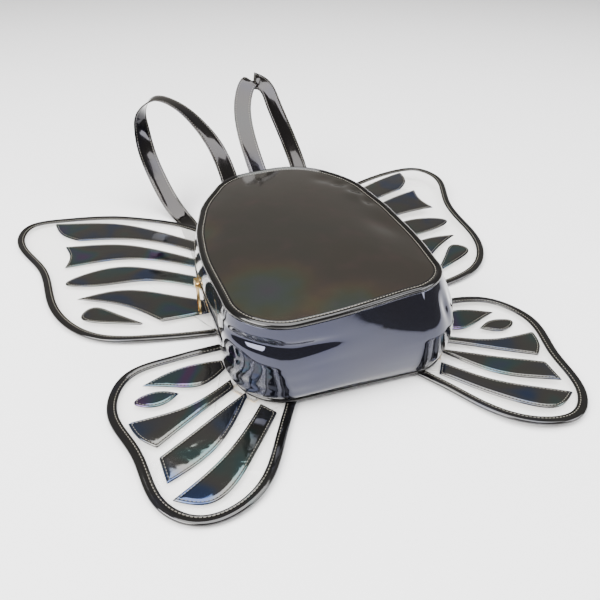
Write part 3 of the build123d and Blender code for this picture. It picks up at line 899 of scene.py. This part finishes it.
def strap(name, node, route):
    """Band along its route, stitched at both edges of both faces."""
    spots, across, up = strap_frames(clamped(route))
    spots[:, 2] = np.maximum(spots[:, 2], STRAP_LOWEST_Z)
    rings = [np.array([spot + side * a + lift * b for side, lift in STRAP_SECTION])
             for spot, a, b in zip(spots, across, up)]
    count = len(STRAP_SECTION)
    faces = grid_faces(len(rings), count, wrap_columns=True)
    faces.append(tuple(reversed(range(count))))
    faces.append(tuple(range((len(rings) - 1) * count, len(rings) * count)))
    band = make(name, np.vstack(rings), faces, STRAP_SKIN)
    clean(band, 1e-6)
    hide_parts(node)
    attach(band, "bag")
    threads = Threads()
    for side in (-STRAP_SEAM, STRAP_SEAM):
        for face in (1, -1):
            threads.run(spots + across * side + up * face * STRAP_SEAM_LIFT, up * face,
                        pitch=3.4, length=2.3, radius=0.3)
    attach(threads.piece(name + "_stitching", THREAD), "bag")


strap("Left_strap", "left_strap", LEFT_STRAP)
strap("Right_strap", "right_strap", RIGHT_STRAP)

# ---- wings

SHEET_LOW, SHEET_HIGH = 2.95, 3.45
SHEET_UNDER_BAG, SHEET_UNDER_BORDER = 2.5, 3.0
BORDER_SECTION = [(0.0, 3.3), (0.15, 4.1), (0.7, 4.75), (1.6, 5.05), (3.0, 5.0), (4.8, 4.75),
                  (5.7, 4.5), (6.2, 4.3), (6.8, 4.45), (7.6, 4.5), (8.3, 4.2), (8.6, 3.6),
                  (8.4, 2.9), (7.4, 2.3), (4.5, 2.0), (2.0, 1.7), (0.8, 2.0), (0.2, 2.6)]
BORDER_REACH = 8.6
BORDER_SEAM_IN, BORDER_SEAM_Z = 6.2, 4.45
STRIP_SEAM_IN, STRIP_SEAM_Z = 2.2, 4.4
# Height of a strip's top at distances in from its edge, with the stitched groove between
STRIP_DISTANCES = [0, 0.25, 0.8, 1.6, 2.2, 2.8, 4.5]
STRIP_HEIGHTS = [3.5, 4.15, 4.55, 4.6, 4.3, 4.6, 4.75]
STRIP_STEP = 1.6
PLATE_GRID = 5.0
SHEET_MIDDLES = {"upper": np.array([165, 110]), "lower": np.array([130, -160])}


def lift(points, place):
    """Slow waves of the lying sheets, and the raised right upper wing."""
    x, y = np.abs(points[:, 0]), points[:, 1]
    out = smooth(99, 170, x)
    if place == "right_upper":
        rise = 9.0 * smooth(110, 270, x) * smooth(40, 200, y) + 2.5 * smooth(120, 220, x)
        return rise + 0.9 * out * np.sin(y / 26)
    if place == "left_upper":
        return out * (0.8 + 0.9 * np.sin(y / 38 + 0.6) + 0.5 * np.sin(x / 21))
    away = smooth(0, 60, signed_to_bag(points[:, :2])[0])
    if place == "left_lower":
        return away * (0.7 + 0.8 * np.sin((x + y) / 24) + 0.4 * np.sin(x / 13))
    return away * (1.6 + 1.2 * np.sin((x - y) / 27 + 1.0))


def finish_wing(piece, place):
    """Mirror a left wing, add its waves and bend it at its root."""
    side, level = place.split("_")
    mesh = piece.data
    points = np.array([v.co for v in mesh.vertices], float).reshape(-1, 3) / MM
    points[:, 1] -= BAG_Y
    if side == "left":
        points[:, 0] *= -1
        mesh.flip_normals()
    points[:, 2] += lift(points, place)
    mesh.vertices.foreach_set("co", row(points).astype(np.float32).ravel())
    mesh.update()
    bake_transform(piece)


def padded_plate(name, outline, distances, heights, low, material):
    """Closed plate whose height follows the distance from its edge."""
    points = [tuple(p) for p in outline]
    count = len(outline)
    edges = [(k, (k + 1) % count) for k in range(count)]
    inward = into_loop(outline, directions(outline, True))
    for distance in distances[1:]:
        ring = outline + inward * distance
        gap, _, _ = nearest(ring, outline)
        points += [tuple(p) for p in ring[gap > distance * 0.96]]
    low_corner, high_corner = outline.min(0), outline.max(0)
    mesh_x, mesh_y = np.meshgrid(np.arange(low_corner[0], high_corner[0], PLATE_GRID),
                                 np.arange(low_corner[1], high_corner[1], PLATE_GRID))
    inside = np.stack([mesh_x.ravel(), mesh_y.ravel()], 1)
    gap, spot, way = nearest(inside, outline)
    side = ((inside - spot) * into_loop(outline, way)).sum(1)
    keep = (side > 0) & (gap > distances[-1] + PLATE_GRID * 0.4)
    points += [tuple(p) for p in inside[keep]]
    verts, _, faces, _, _, _ = geometry.delaunay_2d_cdt(
        [Vector(p) for p in points], edges, [list(range(count))], 1, 1e-5)
    flat = np.array([tuple(v) for v in verts])
    gap, _, _ = nearest(flat, outline)
    top = np.column_stack([flat, np.interp(gap, distances, heights)])
    total = len(flat)
    faces = [tuple(face) for face in faces]
    # a dictionary keeps its order
    sides = dict.fromkeys(pair for face in faces for pair in zip(face, face[1:] + face[:1]))
    rim_edges = [(a, b) for a, b in sides if (b, a) not in sides]
    faces += [tuple(i + total for i in reversed(face)) for face in faces]
    faces += [(b, a, a + total, b + total) for a, b in rim_edges]
    return make(name, np.vstack([top, level_ring(flat, low)]), faces, material)


def runs_line(runs):
    """Closed outline of a strip from its runs."""
    parts = []
    for run, following in zip(runs, runs[1:] + runs[:1]):
        line = natural_spline(run, STRIP_STEP)
        parts.append(line[:-1] if np.allclose(line[-1], following[0]) else line)
    joined = np.vstack(parts)
    if np.linalg.norm(joined[0] - joined[-1]) > STRIP_STEP:
        closing = natural_spline([joined[-1], joined[0]], STRIP_STEP)[1:-1]
        joined = np.vstack([joined, closing])
    return joined


def kept_inside(line, outer, margin, bag_margin):
    """Move points of a strip back inside the border, and out of the bag."""
    gap, spot, way = nearest(line, outer, closed=False)
    normal = into_loop(outer, way)
    side = ((line - spot) * normal).sum(1)
    depth = np.where(side > 0, gap, -gap)
    short = depth < margin
    moved = np.array(line)
    moved[short] = spot[short] + normal[short] * margin
    beyond, spot, normal = signed_to_bag(moved)
    hidden = beyond < bag_margin
    moved[hidden] = spot[hidden] + normal[hidden] * bag_margin
    steps_taken = np.linalg.norm(np.roll(moved, -1, 0) - moved, axis=1)
    moved = moved[steps_taken > 0.25]
    return resample(moved, max(12, int(length_of(moved) / STRIP_STEP)), True)


def bag_side(line):
    """Edge of the wing's sheet under the bag, back from the end of a line to its start."""
    _, spots, _ = signed_to_bag(line[[-1, 0]])
    first, last = [int(np.linalg.norm(OUTLINE - spot, axis=1).argmin()) for spot in spots]
    if last < first:
        last += len(OUTLINE)
    return (OUTLINE - OUTWARD * SHEET_UNDER_BAG)[np.arange(first, last + 1) % len(OUTLINE)]


def wing(place):
    """Border, strips, stitches and clear sheet of one wing."""
    side, level = place.split("_")
    corners = UPPER_OUTLINE if level == "upper" else LOWER_OUTLINE
    strips = UPPER_STRIPS if level == "upper" else LOWER_STRIPS
    outer = natural_spline(corners, 1.8)
    beyond, _, _ = signed_to_bag(outer)
    kept = np.where(beyond > -4)[0]
    clear = slice(kept.min(), kept.max() + 1)
    line, into = outer[clear], right_of(directions(outer, False))[clear]
    title = f"{side.capitalize()}_{level}"

    rings = [level_ring(line + into * reach, z) for reach, z in BORDER_SECTION]
    count = len(line)
    faces = grid_faces(len(rings), count, wrap_rows=True, flip=True)
    faces.append(tuple(k * count for k in range(len(rings))))
    faces.append(tuple(k * count + count - 1 for k in reversed(range(len(rings)))))
    border = make(f"{title}_border", np.vstack(rings), faces, EDGE_SKIN)
    clean(border, 1e-6)
    nodes = [f"{place}_wing_border"] + ([f"{side}_wing_root_border"] if level == "upper" else [])
    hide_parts(*nodes)
    finish_wing(border, place)

    threads = Threads()
    seam = level_ring(line + into * BORDER_SEAM_IN, BORDER_SEAM_Z)
    away = np.where(signed_to_bag(seam[:, :2])[0] > 1.0)[0]
    threads.run(seam[away.min():away.max() + 1], UP, pitch=3.0, length=2.0, radius=0.42)
    for number, runs in enumerate(strips, start=1):
        shape = kept_inside(runs_line(runs), outer, BORDER_REACH + 0.7, -1.0)
        strip = padded_plate(f"{title}_strip_{number}", shape, STRIP_DISTANCES, STRIP_HEIGHTS,
                             SHEET_HIGH, WING_SKIN)
        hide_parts(f"{place}_wing_strip_{number}")
        finish_wing(strip, place)
        seam = shape + into_loop(shape, directions(shape, True)) * STRIP_SEAM_IN
        gap, _, _ = nearest(seam, shape)
        threads.run(level_ring(seam[gap > STRIP_SEAM_IN - 0.2], STRIP_SEAM_Z), UP, pitch=2.9,
                    length=1.9, radius=0.36, closed=True)
    finish_wing(threads.piece(f"{title}_stitching", THREAD), place)

    rim_line = line + into * SHEET_UNDER_BORDER
    loop = resample(np.vstack([rim_line, bag_side(rim_line)]), 420, True)
    rings = plate_rings(loop, SHEET_MIDDLES[level], np.linspace(1, 0, 26), SHEET_HIGH - 0.02,
                        SHEET_LOW)
    faces = grid_faces(len(rings), len(loop), wrap_rows=True, wrap_columns=True)
    sheet = make(f"{title}_clear_sheet", np.vstack(rings), faces, CLEAR)
    clean(sheet, 1e-6)
    nodes = [f"{place}_wing_panel"] + ([f"{side}_wing_root_panel"] if level == "upper" else [])
    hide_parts(*nodes)
    finish_wing(sheet, place)


for place in ("left_upper", "right_upper", "left_lower", "right_lower"):
    wing(place)

# ---- hidden soft hardware

def soft_plate(name, node, outline, low, high):
    """Sewn plate of strap film with a stitched groove near its edge."""
    piece = padded_plate(name, outline, [0, 0.2, 0.6, 1.6, 2.2, 2.8, 4.0],
                         [low + 0.3, high - 0.25, high, high, high - 0.15, high, high], low,
                         STRAP_SKIN)
    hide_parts(node)
    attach(piece, "bag")


def rounded_rectangle(width, length, radius, centre, angle=0.0):
    """Outline of a rectangle with rounded corners, turned by an angle in degrees."""
    points = []
    for sx, sy, start in ((1, 1, 0), (-1, 1, 90), (-1, -1, 180), (1, -1, 270)):
        for k in range(7):
            turn = math.radians(start + k * 15)
            points.append((sx * (width / 2 - radius) + radius * math.cos(turn),
                           sy * (length / 2 - radius) + radius * math.sin(turn)))
    points = resample(points, int(2 * (width + length) / STRIP_STEP), True)
    c, s = math.cos(math.radians(angle)), math.sin(math.radians(angle))
    return points @ np.array([[c, s], [-s, c]]) + np.array(centre)


RING_X, RING_Y, RING_TURN = 91, -118, 55
TAB_FROM_RING = 6
soft_plate("Strap_patch", "strap_patch", rounded_rectangle(84, 36, 8, (0, 114)), 0.02, 1.2)
for side, word in ((-1, "left"), (1, "right")):
    out = np.array([side * math.sin(math.radians(RING_TURN)), -math.cos(math.radians(RING_TURN))])
    centre = np.array([side * RING_X, RING_Y]) - out * TAB_FROM_RING
    soft_plate(f"{word.capitalize()}_ring_tab", f"{word}_ring_tab",
               rounded_rectangle(20, 12, 1.5, centre, side * RING_TURN), 3.0, 4.5)

# ---- camera, floor and light

AZIMUTH, ELEVATION, ROLL = math.radians(-19.63), math.radians(34.1), math.radians(0.81)
DISTANCE = 0.627
AIM = Vector((-0.00175, BAG_Y * MM, 0))
SENSOR_WIDTH = 36
FOCAL_LENGTH = 603.8 / 600 * SENSOR_WIDTH       # 603.8 pixels in a picture 600 wide
camera_data = bpy.data.cameras.new("Camera")
camera_data.sensor_width = SENSOR_WIDTH
camera_data.lens = FOCAL_LENGTH
camera = placed("Camera", camera_data)
away = Vector((math.sin(AZIMUTH) * math.cos(ELEVATION), -math.cos(AZIMUTH) * math.cos(ELEVATION),
               math.sin(ELEVATION)))
camera.location = AIM + away * DISTANCE
turn = (-away).to_track_quat("-Z", "Y").to_matrix() @ Matrix.Rotation(ROLL, 3, "Z")
camera.rotation_euler = turn.to_euler()
bpy.context.scene.camera = camera

floor_mesh = bpy.data.meshes.new("Floor")
HALF = 6
floor_mesh.from_pydata([(-HALF, -HALF, 0), (HALF, -HALF, 0), (HALF, HALF, 0), (-HALF, HALF, 0)], [],
                       [(0, 1, 2, 3)])
floor = placed("Floor", floor_mesh)
floor_material, _, _, floor_shader = tree("Floor_white")
floor_shader.inputs["Base Color"].default_value = (0.90, 0.90, 0.91, 1)
floor_shader.inputs["Roughness"].default_value = 0.7
floor_mesh.materials.append(floor_material)


def area_light(name, location, size, power, colour):
    """Soft lamp aimed at the origin."""
    data = bpy.data.lights.new(name, "AREA")
    data.shape = "RECTANGLE"
    data.size, data.size_y = size
    data.energy = power
    data.color = colour
    light = placed(name, data)
    light.location = location
    light.rotation_euler = (-Vector(location)).to_track_quat("-Z", "Y").to_euler()


area_light("Window", (-1.6, -0.6, 1.5), (1.6, 1.2), 112, (1.0, 0.99, 0.97))
area_light("Above", (0.1, -0.1, 2.2), (2.4, 2.4), 140, (1.0, 1.0, 1.0))
area_light("Fill", (1.7, -1.0, 1.2), (1.2, 1.0), 36, (0.97, 0.98, 1.0))

world = bpy.data.worlds.new("Room")
bpy.context.scene.world = world
world.use_nodes = True
nodes, links = world.node_tree.nodes, world.node_tree.links
where = nodes.new("ShaderNodeTexCoord")
split = nodes.new("ShaderNodeSeparateXYZ")
links.new(where.outputs["Generated"], split.inputs["Vector"])
sky = ramp(nodes, [(0.0, (0.55, 0.55, 0.57)), (0.50, (0.50, 0.49, 0.48)),
                         (0.62, (0.36, 0.33, 0.30)), (0.85, (0.42, 0.40, 0.38)),
                         (1.0, (0.7, 0.7, 0.7))])
spread = nodes.new("ShaderNodeMapRange")
spread.inputs["From Min"].default_value = -1
links.new(split.outputs["Z"], spread.inputs["Value"])
links.new(spread.outputs["Result"], sky.inputs["Fac"])
links.new(sky.outputs["Color"], nodes["Background"].inputs["Color"])
nodes["Background"].inputs["Strength"].default_value = 0.85
